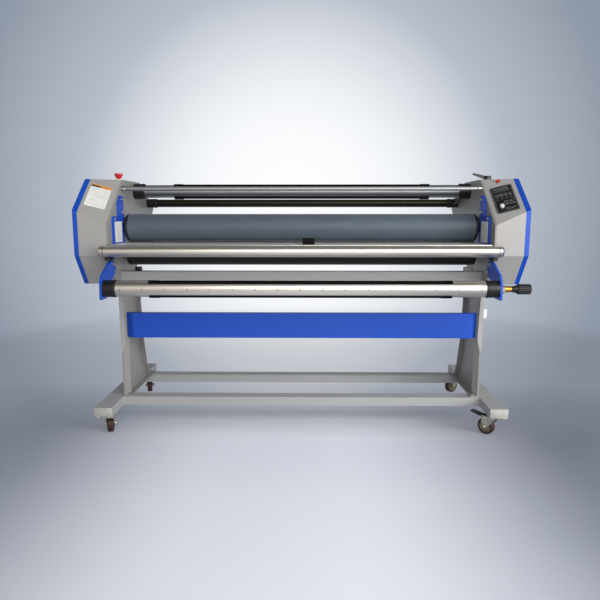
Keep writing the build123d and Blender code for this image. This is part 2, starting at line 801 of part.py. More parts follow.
def caster_fork(name):
    """Crown with kingpin, two cheeks and the axle."""
    crown = block((-20, 33), (-18, 18), (78, 85.6))
    crown = fillet(crown.edges().filter_by(Axis.Z), 6)
    profile = [(-16, 85.6), (-16, 74), (20, 30), (40, 30), (47, 74), (47, 85.6)]
    cheek = Polyline(*[(x, 0, z) for x, z in profile], close=True)
    fork = crown + rod_z(0, 0, (80, 95), PIVOT_HOLE_R)
    for low in (-18, 15):
        fork += Pos(0, low, 0) * extrude(make_face(cheek), amount=3, dir=(0, 1, 0))
    axle = Location((TRAIL, 0, WHEEL_R), (90, 0, 0)) * Cylinder(AXLE_R, 42)
    pin_t, pin_z = PEDAL_PIN
    pin_hole = Location((pin_t, 0, pin_z), (90, 0, 0)) * Cylinder(PEDAL_PIN_R + RUN, 60)
    return caster_place(name) * (fork + axle - pin_hole)


def caster_wheel(name):
    """Moulded wheel with a rounded tread and recessed faces."""
    wheel = Cylinder(WHEEL_R, WHEEL_W)
    wheel = fillet(wheel.edges(), 5)
    for side in (-1, 1):
        ring = Cylinder(WHEEL_R - 9, 5) - Cylinder(11, 5)
        wheel -= Pos(0, 0, side * (WHEEL_W / 2 - 1.5)) * ring
    wheel += Cylinder(9, WHEEL_W + 3)
    wheel -= Cylinder(AXLE_R + RUN, WHEEL_W + 10)
    return caster_place(name) * Location((TRAIL, 0, WHEEL_R), (90, 0, 0)) * wheel


def brake_pedal(name):
    """Foot pedal hinged between the cheeks behind the crown."""
    pin_t, pin_z = PEDAL_PIN
    side = Polyline(
        (pin_t - 2, 0, pin_z + 3.5),
        (pin_t - 2, 0, pin_z - 3.5),
        (62, 0, 79),
        (107, 0, 87),
        (108, 0, 91),
        (60, 0, 86),
        close=True,
    )
    blade = Pos(0, -14, 0) * extrude(make_face(side), amount=28, dir=(0, 1, 0))
    pin = Location((pin_t, 0, pin_z), (90, 0, 0)) * Cylinder(PEDAL_PIN_R, 36)
    return caster_place(name) * (blade + pin)


# ---- write every sub-part ----------------------------------------------------
def save_frame():
    save("foot_beams", pair(foot_beam()))
    save("cross_beams", [cross_beam(FRONT_BEAM_Y), cross_beam(REAR_BEAM_Y)])
    frame = side_frame()
    save("side_frame_right", frame)
    save("side_frame_left", mirrored(frame))
    save("front_panel", front_panel())
    save("cross_member", cross_member())
    save("casing_left", casing_left())
    save("casing_right", casing_right())
    save("side_covers", pair(side_cover()))
    save("hex_bolts", hex_bolts())


def save_table():
    save("feed_table", feed_table())
    save("nose_tube", nose_tube())
    save("table_brackets", pair(table_bracket()))
    save("sheet_sensor", sheet_sensor())
    save("guard_plates", pair(guard_plate()))
    save("label_plates", label_plates())
    save("guide_bar", guide_bar())


def save_rollers():
    save("upper_roller_core", upper_roller_core())
    save("upper_roller_sleeve", sleeve(UPPER_Z, UPPER_R))
    save("lower_roller_core", lower_roller_core())
    save("lower_roller_sleeve", sleeve(LOWER_Z, LOWER_R))
    save("lower_bearings", pair(lower_bearing()))
    save("lift_blocks", pair(lift_block()))
    save("lift_guides", lift_guides())
    save("lift_cylinders", pair(lift_cylinder()))


def save_shafts():
    hubs = pair(shaft_hub(SUPPLY, SUPPLY_HUB_IN, PLATE_IN))
    hubs += pair(shaft_hub(REAR, REAR_HUB_IN, PLATE_IN))
    hubs += pair(shaft_hub(LOWER, LOWER_HUB_IN, ARM_IN))
    save("shaft_hubs", hubs)
    save("supply_shaft", shaft_with_grips(SUPPLY, SUPPLY_HUB_IN, SUPPLY_GRIP))
    save("supply_grips", grip_strips(SUPPLY, *SUPPLY_GRIP))
    save("rear_shaft", roll_shaft(REAR, REAR_HUB_IN, 4))
    save("lower_shaft", shaft_with_grips(LOWER, LOWER_HUB_IN, LOWER_GRIP))
    save("lower_grips", grip_strips(LOWER, *LOWER_GRIP))
    arm = lower_arm()
    save("lower_arms", pair(arm))
    save("tension_collar", tension_collar())
    save("tension_knob", tension_knob())


def save_drive():
    save("drive_motor", drive_motor())
    save("drive_sprocket", drive_sprocket())
    save("driven_sprocket", sprocket(DRIVEN_TEETH, ROLLER_Y, LOWER_Z, 12))
    save("drive_chain", drive_chain())
    save("control_board", control_board())
    save("power_inlet", power_inlet())


def save_controls():
    save("control_panel", control_panel())
    save("speed_knob", speed_knob())
    save("power_button", power_button())
    save("estop_base", estop_base())
    save("estop_head", estop_head())
    save("valve_body", valve_body())
    save("valve_lever", valve_lever())


def save_casters():
    save("caster_plates", [caster_plate(name) for name in CASTERS])
    for name in CASTERS:
        save(f"caster_fork_{name}", caster_fork(name))
        save(f"caster_wheel_{name}", caster_wheel(name))
        save(f"brake_pedal_{name}", brake_pedal(name))


os.makedirs("parts", exist_ok=True)
save_frame()
save_table()
save_rollers()
save_shafts()
save_drive()
save_controls()
save_casters()
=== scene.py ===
"""Looks of the cold roll laminator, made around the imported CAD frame.

Lengths are in metres. +X is to the right seen from the front, -Y is the front, Z is up.
"""

import json
import math
import random

import bmesh
import bpy
from mathutils import Matrix, Vector


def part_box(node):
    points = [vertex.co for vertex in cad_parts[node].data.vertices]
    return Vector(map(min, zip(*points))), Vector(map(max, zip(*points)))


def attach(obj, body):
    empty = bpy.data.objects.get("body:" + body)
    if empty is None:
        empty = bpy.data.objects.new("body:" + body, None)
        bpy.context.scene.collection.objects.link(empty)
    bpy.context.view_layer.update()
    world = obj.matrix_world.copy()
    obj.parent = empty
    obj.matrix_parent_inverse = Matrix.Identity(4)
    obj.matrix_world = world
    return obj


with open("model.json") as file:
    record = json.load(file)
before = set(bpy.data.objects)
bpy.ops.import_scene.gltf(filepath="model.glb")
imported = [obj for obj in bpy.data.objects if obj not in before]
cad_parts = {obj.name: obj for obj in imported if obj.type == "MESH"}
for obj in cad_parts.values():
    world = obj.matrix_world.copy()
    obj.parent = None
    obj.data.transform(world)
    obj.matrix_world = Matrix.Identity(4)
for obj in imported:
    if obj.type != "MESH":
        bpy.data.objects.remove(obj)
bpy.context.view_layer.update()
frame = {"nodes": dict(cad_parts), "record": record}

# ---- places in the object -----------------------------------------------------------
SIDES = (1, -1)  # right and left, as the sign of X
PLATE_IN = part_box("cross_member")[1].x  # inner face of the side plates
PLATE_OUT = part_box("side_frame_right")[1].x  # outer face, where feet and casings begin
CASING_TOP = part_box("casing_right")[1].z

# Turn of each caster about Z at rest, in degrees
CASTER_HEADINGS = {"front_left": 105.0, "front_right": 130.0, "rear_left": 286.0, "rear_right": 215.0}

# Right-hand hubs of the supply, rear and lower shafts: X of the inner end, Y, Z, radius
HUBS = (
    (0.764, 0.109, 1.085, 0.037),
    (0.764, 0.325, 1.032, 0.023),
    (0.756, -0.396, 0.6715, 0.0355),
)

# Corners of the right control face; the left one is its mirror image
COVER_LOW, COVER_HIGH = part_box("side_covers")
FACE_CORNER = Vector((COVER_HIGH.x, COVER_LOW.y, 0.993))
FACE_TOP = Vector((COVER_HIGH.x, -0.137, COVER_HIGH.z))
FACE_INNER = Vector((PLATE_OUT, COVER_LOW.y, 0.930))

# What lies on the control faces: X and Y of its centre, half its size, height over the face
PANEL_CENTRE = (0.8845, -0.2005)
PANEL_HALF = (0.046, 0.0855)
PANEL_TOP = 0.003
LABEL_CENTRE = (0.8905, -0.1895)
LABEL_HALF = (0.044, 0.074)
LABEL_TOP = 0.0008
KNOB_CENTRE = (0.866, -0.235)
BUTTON_CENTRE = (0.884, -0.108)

# X on the panel of the columns of keys and lamps
KEY_COLUMNS = [-0.028 + 0.0187 * column for column in range(4)]

# Printed marks: thickness, bevel, range of a dash's length and of the gap after it
PRINT_HEIGHT = 0.0002
PRINT_EDGE = 0.00005
DASH_LENGTH = (0.003, 0.012)
DASH_GAP = (0.0012, 0.0035)
DASH_ROOM = 0.004  # a row ends where less than this is left

SHARP_ANGLE = 35  # degrees; smoother edges are shaded round


# ---- materials ----------------------------------------------------------------------
def srgb(red, green, blue):
    """Linear colour for a shader from 0-255 screen values."""

    def linear(value):
        value /= 255
        return value / 12.92 if value <= 0.04045 else ((value + 0.055) / 1.055) ** 2.4

    return (linear(red), linear(green), linear(blue), 1.0)


def scaled(colour, factor):
    """A colour made darker or paler, with no channel past 1."""
    return tuple(min(1.0, channel * factor) for channel in colour[:3]) + (1.0,)


class Surface:
    """A node material round one Principled shader, in the piece's own coordinates."""

    def __init__(self, name, **sockets):
        self.material = bpy.data.materials.new(name)
        self.material.use_nodes = True
        self.tree = self.material.node_tree
        self.shader = self.tree.nodes["Principled BSDF"]
        for key, value in sockets.items():
            self.feed(self.shader.inputs[key.replace("_", " ")], value)
        self.coords = self.node("ShaderNodeTexCoord").outputs["Object"]

    def feed(self, socket, value):
        """Links another node's output to a socket, or sets a plain value on it."""
        if isinstance(value, bpy.types.NodeSocket):
            self.tree.links.new(value, socket)
        else:
            socket.default_value = value

    def node(self, kind, inputs=None, **settings):
        made = self.tree.nodes.new(kind)
        for key, value in settings.items():
            setattr(made, key, value)
        for key, value in (inputs or {}).items():
            self.feed(made.inputs[key], value)
        return made

    def noise(self, scale, detail=3.0, stretch=(1, 1, 1)):
        """Noise from 0 to 1; stretch multiplies its scale along each axis."""
        mapped = self.node("ShaderNodeMapping", {"Vector": self.coords, "Scale": stretch})
        inputs = {"Vector": mapped.outputs[0], "Scale": scale, "Detail": detail}
        return self.node("ShaderNodeTexNoise", inputs).outputs[0]

    def levels(self, value, low, high, start=0.35, end=0.65, **settings):
        """value's range from start to end, stretched to run from low to high."""
        inputs = {"Value": value, "From Min": start, "From Max": end, "To Min": low, "To Max": high}
        return self.node("ShaderNodeMapRange", inputs, **settings).outputs[0]

    def blend(self, value, start, end):
        """Smooth change from 0 to 1 as value goes from start to end."""
        return self.levels(value, 0.0, 1.0, start, end, interpolation_type="SMOOTHSTEP")

    def maths(self, operation, a, b):
        return self.node("ShaderNodeMath", {0: a, 1: b}, operation=operation).outputs[0]

    def vector_maths(self, operation, a, b=None, output=0):
        inputs = {0: a} if b is None else {0: a, 1: b}
        return self.node("ShaderNodeVectorMath", inputs, operation=operation).outputs[output]

    def mixed(self, share, a, b):
        """Colour a at share 0, b at share 1. Sockets 6 and 7 are the node's two colours."""
        inputs = {0: share, 6: a, 7: b}
        return self.node("ShaderNodeMix", inputs, data_type="RGBA").outputs[2]

    def axis(self, name):
        """One coordinate of the piece, such as its X."""
        return self.node("ShaderNodeSeparateXYZ", {0: self.coords}).outputs[name]

    def rounded(self, radius):
        """Normal of edges rounded off by that radius."""
        return self.node("ShaderNodeBevel", {"Radius": radius}, samples=4).outputs[0]

    def edge_mask(self, normal):
        """1 along the rounded edges, 0 on flat faces."""
        true_normal = self.node("ShaderNodeNewGeometry").outputs["True Normal"]
        facing = self.vector_maths("DOT_PRODUCT", normal, true_normal, "Value")
        return self.levels(facing, 1.0, 0.0, 0.90, 0.995)

    def bump(self, height, distance, normal=None):
        inputs = {"Height": height, "Distance": distance, "Strength": 1.0}
        if normal is not None:
            inputs["Normal"] = normal
        return self.node("ShaderNodeBump", inputs).outputs[0]

    def done(self, colour, roughness, normal=None):
        """Feeds what varies over the surface to the shader and returns the material."""
        driven = {"Base Color": colour, "Roughness": roughness, "Normal": normal}
        for key, value in driven.items():
            if value is not None:
                self.feed(self.shader.inputs[key], value)
        return self.material


def powder_coat(name, colour, roughness, edge=0.0016):
    """Sprayed powder paint: orange peel, faint mottle, thinner and paler on the edges."""
    s = Surface(name)
    normal = s.rounded(edge)
    worn = s.maths("MULTIPLY", s.edge_mask(normal), s.levels(s.noise(60), 0.05, 0.40))
    mottle = s.levels(s.noise(2.5, 4), 0.0, 1.0)
    base = s.mixed(mottle, scaled(colour, 0.97), scaled(colour, 1.03))
    fleck = s.levels(s.noise(1400, 1), 0.0, 0.22, 0.5, 0.75)
    base = s.mixed(fleck, base, scaled(colour, 1.35))
    base = s.mixed(worn, base, scaled(colour, 1.8))
    peel = s.maths("ADD", s.noise(420, 2), s.maths("MULTIPLY", s.noise(1500, 1), 0.5))
    rough = s.levels(s.noise(14, 3), roughness - 0.01, roughness + 0.02)
    return s.done(base, rough, s.bump(peel, 0.00012, normal))


def drawn_metal(name, colour, roughness=0.36):
    """Drawn or extruded bar: fine lines along X and a few handling marks."""
    s = Surface(name, Metallic=1.0)
    lines = s.noise(9, 4, (3, 260, 260))
    cloud = s.noise(6, 3)
    base = s.mixed(s.levels(lines, 0.0, 1.0), scaled(colour, 0.96), scaled(colour, 1.03))
    base = s.mixed(s.levels(cloud, 0.0, 0.08), base, scaled(colour, 0.80))
    rough = s.maths("ADD", s.levels(lines, -0.02, 0.02), s.levels(cloud, roughness, roughness + 0.01))
    return s.done(base, rough, s.bump(lines, 0.0000004))


def turned_metal(name, colour, roughness=0.30, metallic=1.0):
    """Lathe-turned metal: fine rings round X."""
    s = Surface(name, Metallic=metallic)
    rings = s.noise(5, 3, (700, 4, 4))
    stain = s.levels(s.noise(35, 4), 0.0, 1.0)
    base = s.mixed(stain, scaled(colour, 0.82), scaled(colour, 1.06))
    rough = s.maths("ADD", s.levels(rings, -0.06, 0.06), s.levels(stain, roughness, roughness + 0.12))
    return s.done(base, rough, s.bump(rings, 0.00003, s.rounded(0.0006)))


def plated_steel(name, colour, roughness=0.33):
    """Zinc plating: cloudy, with a slight yellow cast in places."""
    s = Surface(name, Metallic=1.0)
    cloud = s.levels(s.noise(55, 4), 0.0, 1.0)
    tint = s.levels(s.noise(18, 2), 0.0, 1.0)
    warm = tuple(a * b for a, b in zip(colour, (1.10, 1.02, 0.80, 1.0)))
    base = s.mixed(tint, scaled(colour, 0.95), warm)
    base = s.mixed(cloud, base, scaled(colour, 0.72))
    rough = s.levels(s.noise(130, 3), roughness - 0.08, roughness + 0.14)
    return s.done(base, rough, s.bump(s.noise(900, 2), 0.00004, s.rounded(0.0007)))


def moulded(name, colour, roughness, grain=900, coat=0.0, gloss=0.5):
    """Moulded plastic: fine spark-eroded grain with slightly polished patches."""
    s = Surface(name, Coat_Weight=coat, Coat_Roughness=0.08, Specular_IOR_Level=gloss)
    base = s.mixed(s.levels(s.noise(30, 3), 0.0, 1.0), scaled(colour, 0.88), scaled(colour, 1.12))
    rough = s.levels(s.noise(22, 3), roughness - 0.07, roughness + 0.09)
    return s.done(base, rough, s.bump(s.noise(grain, 2), 0.00008, s.rounded(0.0008)))


def ground_rubber(name, colour, roughness=0.5):
    """Rubber sleeve ground on a lathe: fine rings round X and a soft bloom."""
    s = Surface(name, Sheen_Weight=0.12, Sheen_Roughness=0.5)
    rings = s.noise(6, 3, (420, 2, 2))
    bloom = s.levels(s.noise(7, 4), 0.0, 1.0)
    base = s.mixed(bloom, scaled(colour, 0.92), scaled(colour, 1.07))
    base = s.mixed(s.levels(rings, 0.0, 0.22), base, scaled(colour, 0.78))
    dust = s.levels(s.noise(420, 1), 0.0, 0.12, 0.70, 0.85)
    base = s.mixed(dust, base, scaled(colour, 1.5))
    rough = s.maths("ADD", s.levels(rings, -0.04, 0.05), s.levels(bloom, roughness, roughness + 0.08))
    return s.done(base, rough, s.bump(rings, 0.00001, s.rounded(0.001)))


def ribbed_rubber(name, colour):
    """Strip rubber with fine ribs across it and dust between them."""
    s = Surface(name, Specular_IOR_Level=0.10)
    wave_inputs = {"Vector": s.coords, "Scale": 160.0, "Distortion": 0.15}
    ribs = s.node("ShaderNodeTexWave", wave_inputs, bands_direction="X").outputs["Fac"]
    base = s.mixed(s.levels(ribs, 1.0, 0.0, 0.0, 0.5), colour, scaled(colour, 2.2))
    rough = s.levels(s.noise(80, 3), 0.62, 0.80)
    return s.done(base, rough, s.bump(ribs, 0.0004, s.rounded(0.0006)))


def cast_paint(name, colour):
    """Painted casting: coarse skin under a thick semi-gloss coat."""
    s = Surface(name)
    base = s.mixed(s.levels(s.noise(12, 4), 0.0, 1.0), scaled(colour, 0.8), scaled(colour, 1.1))
    rough = s.levels(s.noise(40, 3), 0.38, 0.58)
    return s.done(base, rough, s.bump(s.noise(240, 4), 0.0005, s.rounded(0.0015)))


def circuit_board(name):
    """Green solder mask with paler copper traces under it."""
    s = Surface(name)
    brick = {"Vector": s.coords, "Scale": 55.0, "Mortar Size": 0.03}
    traces = s.node("ShaderNodeTexBrick", brick).outputs["Fac"]
    base = s.mixed(traces, srgb(14, 92, 48), srgb(60, 140, 80))
    base = s.mixed(s.levels(s.noise(90, 3), 0.0, 0.4), base, srgb(8, 50, 28))
    return s.done(base, s.levels(s.noise(60), 0.30, 0.50), s.bump(traces, 0.0001))


def film(name, colour, roughness=0.30):
    """Printed film: almost smooth, with faint handling marks and a clear top layer."""
    s = Surface(name, Coat_Weight=0.35, Coat_Roughness=0.10)
    smudge = s.levels(s.noise(24, 4), 0.0, 1.0)
    base = s.mixed(smudge, scaled(colour, 0.93), scaled(colour, 1.02))
    rough = s.levels(s.noise(45, 3), roughness - 0.06, roughness + 0.10)
    return s.done(base, rough, s.bump(s.noise(500, 2), 0.00003))


CASING_GREY = srgb(160, 158, 156)
FRAME_GREY = srgb(160, 160, 160)
# Darker grey of the legs: painted shade, for the shade below the lower shaft
SHADED_LEG_GREY = srgb(139, 137, 134)
BLUE = srgb(0, 70, 178)
ALUMINIUM = srgb(228, 222, 212)
BLACK = srgb(20, 20, 22)

# One finish for each material slot of the record
MATERIALS = {
    "casing_grey": powder_coat("casing_grey", CASING_GREY, 0.40),
    "frame_grey": powder_coat("frame_grey", FRAME_GREY, 0.42),
    "blue_paint": powder_coat("blue_paint", BLUE, 0.44),
    "table_sheet": powder_coat("table_sheet", srgb(198, 199, 200), 0.34, 0.0008),
    "aluminium_tube": drawn_metal("aluminium_tube", ALUMINIUM),
    "dark_tube": drawn_metal("dark_tube", srgb(64, 61, 53), 0.36),
    "machined_steel": turned_metal("machined_steel", srgb(190, 190, 188)),
    "black_steel": turned_metal("black_steel", srgb(40, 40, 42), 0.38, metallic=0.6),
    "brass": turned_metal("brass", srgb(214, 158, 72), 0.26),
    "zinc_steel": plated_steel("zinc_steel", srgb(200, 198, 190)),
    "black_plastic": moulded("black_plastic", BLACK, 0.42),
    "panel_black": film("panel_black", srgb(13, 13, 15), 0.30),
    "red_plastic": moulded("red_plastic", srgb(206, 22, 24), 0.28, 600, coat=0.4),
    "knob_white": moulded("knob_white", srgb(228, 228, 226), 0.34, 700),
    "label_white": film("label_white", srgb(238, 238, 236)),
    "yellow_plastic": moulded("yellow_plastic", srgb(214, 206, 170), 0.45),
    "wheel_nylon": moulded("wheel_nylon", srgb(58, 20, 20), 0.50, 500),
    "silicone": ground_rubber("silicone", srgb(74, 86, 98)),
    "lower_silicone": ground_rubber("lower_silicone", srgb(26, 25, 23), 0.60),
    "grip_rubber": ribbed_rubber("grip_rubber", srgb(4, 4, 6)),
    "board_green": circuit_board("board_green"),
    "motor_grey": cast_paint("motor_grey", srgb(118, 121, 126)),
}

# CAD nodes that look a little different from the rest of their slot. The legs' darker grey is painted
# shade, for the shade they stand in below the lower shaft.
SHADED_LEG_PAINT = powder_coat("leg_grey_painted_shade", SHADED_LEG_GREY, 0.46)
MATT_BLACK = moulded("matt_black", srgb(9, 9, 10), 0.62, gloss=0.12)
NODE_MATERIALS = {
    "supply_shaft": drawn_metal("anodised_tube", srgb(172, 174, 175), 0.36),
    "side_frame_left": SHADED_LEG_PAINT,
    "side_frame_right": SHADED_LEG_PAINT,
    "sheet_sensor": MATT_BLACK,
    "guide_bar": drawn_metal("anodised_bar", srgb(168, 170, 172), 0.50),
}

# Finishes of trim pieces alone
PRINT_GREY = film("print_grey", srgb(168, 168, 168), 0.45)
PRINT_BLACK = film("print_black", srgb(30, 30, 30), 0.45)
LABEL_ORANGE = film("label_orange", srgb(224, 140, 30), 0.38)
KEY_GREY = film("key_grey", srgb(58, 58, 62), 0.40)
DISPLAY = film("display", srgb(38, 48, 52), 0.12)
CAP_BLUE = moulded("cap_blue", srgb(36, 54, 104), 0.30, 700)
CAP_LIGHT = moulded("cap_light", srgb(172, 171, 165), 0.50, 700)
HUB_BRONZE = plated_steel("hub_bronze", srgb(150, 142, 112), 0.42)


def finish_nodes():
    """Each CAD node gets its own material or its slot's, in every material slot."""
    for part in frame["record"]["subparts"]:
        mesh = frame["nodes"][part["node"]].data
        material = NODE_MATERIALS.get(part["node"], MATERIALS[part["material_slot"]])
        if not mesh.materials:
            mesh.materials.append(material)
        for index in range(len(mesh.materials)):
            mesh.materials[index] = material


# ---- mesh helpers -------------------------------------------------------------------
def along_x(x, y, z):
    """Frame at a point whose local Z runs along +X."""
    return Matrix.Translation((x, y, z)) @ Matrix.Rotation(math.pi / 2, 4, "Y")


def towards_front(x, y, z):
    """Frame at a point whose local Z runs along -Y."""
    return Matrix.Translation((x, y, z)) @ Matrix.Rotation(math.pi / 2, 4, "X")


def flipped(place):
    """The same frame mirrored to the other side of the machine."""
    return Matrix.Scale(-1, 4, (1, 0, 0)) @ place


def tube_line(node):
    """Y and Z of the axis, radius and half length of a tube that lies along X."""
    low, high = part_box(node)
    middle = (low + high) / 2
    return middle.y, middle.z, (high.z - low.z) / 2, high.x


def ring_profile(start, end, inner, outer, chamfer=0.0):
    """Lathe profile of a ring between two places on its axis, its outer edges chamfered."""
    if not chamfer:
        return [(start, inner), (start, outer), (end, outer), (end, inner)]
    return [
        (start, inner),
        (start, outer - chamfer),
        (start + chamfer, outer),
        (end - chamfer, outer),
        (end, outer - chamfer),
        (end, inner),
    ]


def add_slab(bm, low, high, bevel, place=None):
    """Block with rounded edges between two corners of a frame."""
    low, high = Vector(low), Vector(high)
    shape = Matrix.Translation((low + high) / 2) @ Matrix.Diagonal((*(high - low), 1))
    made = bmesh.ops.create_cube(bm, size=1.0, matrix=(place or Matrix()) @ shape)
    edges = list({edge for vert in made["verts"] for edge in vert.link_edges})
    bmesh.ops.bevel(bm, geom=edges, offset=bevel, segments=2, profile=0.5, affect="EDGES")


def add_lathe(bm, place, profile, segments):
    """Solid turned about a frame's Z; profile is (distance along Z, radius) pairs."""
    rings = []
    for along, radius in profile:
        count = segments if radius > 0 else 1
        angles = [2 * math.pi * step / count for step in range(count)]
        rings.append([
            bm.verts.new(place @ Vector((radius * math.cos(a), radius * math.sin(a), along)))
            for a in angles
        ])
    for first, second in zip(rings, rings[1:]):
        for step in range(segments):
            corners = [
                first[step % len(first)],
                first[(step + 1) % len(first)],
                second[(step + 1) % len(second)],
                second[step % len(second)],
            ]
            unique = list(dict.fromkeys(corners))
            if len(unique) > 2:
                bm.faces.new(unique)


def add_lathe_pair(bm, place, profile, segments):
    """The same lathed solid on the right and, mirrored, on the left."""
    add_lathe(bm, place, profile, segments)
    add_lathe(bm, flipped(place), profile, segments)


def add_bead(bm, start, end, radius=0.0026):
    """Weld bead: a round cord whose thickness ripples along its length."""
    start, end = Vector(start), Vector(end)
    run = end - start
    place = Matrix.Translation(start) @ run.to_track_quat("Z", "Y").to_matrix().to_4x4()
    ripple_length, trough = 0.004, 0.82
    steps = max(2, round(run.length / ripple_length * 2))
    profile = [(0.0, 0.0)]
    for step in range(steps + 1):
        swell = 1.0 if step % 2 else trough
        profile.append((run.length * step / steps, radius * swell))
    profile.append((run.length, 0.0))
    add_lathe(bm, place, profile, 8)


def add_print(bm, place, left, right, bottom, top, level):
    """Flat patch of print on a frame's XY plane, raised to a level."""
    add_slab(bm, (left, bottom, level), (right, top, level + PRINT_HEIGHT), PRINT_EDGE, place)


def add_dashes(bm, place, left, right, rows, thick, level, rng):
    """Rows of plain dashes of uneven length, as generic print."""
    for row in rows:
        x = left
        while x < right - DASH_ROOM:
            run = min(rng.uniform(*DASH_LENGTH), right - x)
            add_print(bm, place, x, x + run, row - thick / 2, row + thick / 2, level)
            x += run + rng.uniform(*DASH_GAP)


def piece(name, bm, body, slot, material=None):
    """Turns a bmesh into a piece that rides on a body, finished with the given material or else its
    slot's.
    """
    bmesh.ops.recalc_face_normals(bm, faces=bm.faces)
    mesh = bpy.data.meshes.new(name)
    bm.to_mesh(mesh)
    bm.free()
    mesh.polygons.foreach_set("use_smooth", [True] * len(mesh.polygons))
    mesh.set_sharp_from_angle(angle=math.radians(SHARP_ANGLE))
    mesh.materials.append(material or MATERIALS[slot])
    made = bpy.data.objects.new(name, mesh)
    bpy.context.scene.collection.objects.link(made)
    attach(made, body)
    return made


# ---- floor frame --------------------------------------------------------------------
def foot_end_caps():
    """Moulded caps over the four ends of the foot beams, each with a raised middle."""
    low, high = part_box("foot_beams")
    # start and end along the beam, growth beyond its section, bevel
    skirt = (0.0, 0.004, 0.0006, 0.0015)
    middle = (0.0035, 0.005, -0.007, 0.0006)
    bm = bmesh.new()
    for side in SIDES:
        left, right = sorted((side * PLATE_OUT, side * high.x))
        for face, out in ((low.y, -1), (high.y, 1)):
            for start, end, grown, bevel in (skirt, middle):
                front, back = sorted((face + out * start, face + out * end))
                near = (left - grown, front, low.z - grown)
                far = (right + grown, back, high.z + grown)
                add_slab(bm, near, far, bevel)
    piece("foot_end_caps", bm, "frame", "knob_white", CAP_LIGHT)


def frame_welds():
    """Beads where the cross beams meet the feet and the legs meet their foot plates."""
    low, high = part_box("cross_beams")
    beam_width = 0.061
    inset = 0.002
    plate_top = high.z + 0.006
    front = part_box("side_frame_right")[0].y + 0.14
    rear = high.y - 0.01
    bm = bmesh.new()
    for side in SIDES:
        foot, web = side * PLATE_OUT, side * PLATE_IN
        for y in (low.y, low.y + beam_width, high.y - beam_width, high.y):
            add_bead(bm, (foot, y, low.z + inset), (foot, y, high.z - inset))
        add_bead(bm, (web, front, plate_top), (web, rear, plate_top), 0.002)
    piece("frame_welds", bm, "frame", "frame_grey")


def leg_edge_strips():
    """Thin cover plate on the front edge of each leg, widest at the height of the panel."""
    # X and Z, from the lowest corner up the outer edge and down the inner one
    outline = (
        (0.8215, 0.345),
        (0.8265, 0.352),
        (0.8285, 0.410),
        (0.8285, 0.668),
        (0.8160, 0.668),
        (0.8120, 0.590),
        (0.8060, 0.440),
        (0.8060, 0.400),
    )
    front, back = -0.1712, -0.1685
    bm = bmesh.new()
    for side in SIDES:
        near = [bm.verts.new((side * x, front, z)) for x, z in outline]
        rear = [bm.verts.new((side * x, back, z)) for x, z in outline]
        bm.faces.new(near)
        bm.faces.new(rear[::-1])
        for index in range(len(outline)):
            after = (index + 1) % len(outline)
            bm.faces.new((near[index], rear[index], rear[after], near[after]))
    piece("leg_edge_strips", bm, "frame", "frame_grey")


def foot_pads():
    """White bump pads under the front ends of the feet."""
    low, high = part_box("foot_beams")
    inset = 0.012
    profile = [(-0.0005, 0.0085), (0.004, 0.0085), (0.007, 0.007), (0.008, 0.004), (0.008, 0.0)]
    downwards = Matrix.Rotation(math.pi, 4, "X")
    bm = bmesh.new()
    for side in SIDES:
        corner = (side * (high.x - inset), low.y + inset, low.z)
        add_lathe(bm, Matrix.Translation(corner) @ downwards, profile, 28)
    piece("foot_pads", bm, "frame", "knob_white")


# ---- rollers, shafts and tubes ------------------------------------------------------
def roller_rims():
    """Black end plates of both nip rollers, each with a turned groove."""
    for roller in ("upper_roller", "lower_roller"):
        y, z, radius, half = tube_line(roller + "_sleeve")
        outer = radius - 0.0006
        back, face = 0.0004, 0.0116
        journal = 0.0205
        profile = [
            (back, outer - 0.004),
            (back, outer),
            (face - 0.0014, outer),
            (face, outer - 0.0014),
            (face, outer - 0.012),
            (face - 0.0008, outer - 0.013),
            (face - 0.0008, outer - 0.017),
            (face, outer - 0.018),
            (face, journal + 0.003),
            (face - 0.0012, journal),
        ]
        bm = bmesh.new()
        add_lathe_pair(bm, along_x(half, y, z), profile, 72)
        piece(roller + "_rims", bm, roller, "black_plastic")


def nose_tube_ends():
    """Ends of the nose tube: a dark seam, then a blue-black cap."""
    y, z, radius, half = tube_line("nose_tube")
    under, proud = radius - 0.001, radius + 0.0004
    seam = [(-0.017, under), (-0.0168, proud), (-0.0142, proud), (-0.014, under)]
    cap = [
        (-0.0045, under),
        (-0.004, proud),
        (0.0005, radius - 0.0016),
        (0.003, radius - 0.005),
        (0.003, radius - 0.009),
        (0.0015, radius - 0.0105),
        (0.0015, 0.005),
        (0.0035, 0.0042),
        (0.0035, 0.0),
    ]
    for name, profile, material in (("nose_tube_seams", seam, None), ("nose_tube_caps", cap, CAP_BLUE)):
        bm = bmesh.new()
        add_lathe_pair(bm, along_x(half, y, z), profile, 48)
        piece(name, bm, "frame", "black_plastic", material)


def table_edge_strip():
    """Thin bright bead between the table's front lip and the nose tube."""
    low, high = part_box("feed_table")
    near = (low.x + 0.004, low.y - 0.0009, high.z - 0.0045)
    far = (high.x - 0.004, low.y + 0.0004, high.z - 0.0006)
    bm = bmesh.new()
    add_slab(bm, near, far, 0.0003)
    piece("table_edge_strip", bm, "frame", "zinc_steel")


def lower_shaft_screws():
    """Row of countersunk set screws along the lower shaft."""
    y, z, radius, _ = tube_line("lower_shaft")
    spacing, each_side = 0.0919, 8
    profile = [(-0.001, 0.0034), (0.0004, 0.0032), (0.0004, 0.0022), (-0.0006, 0.0018), (-0.0006, 0.0)]
    bm = bmesh.new()
    for step in range(-each_side, each_side + 1):
        add_lathe(bm, towards_front(step * spacing, y - radius, z), profile, 16)
    piece("lower_shaft_screws", bm, "lower_roll", "black_steel")


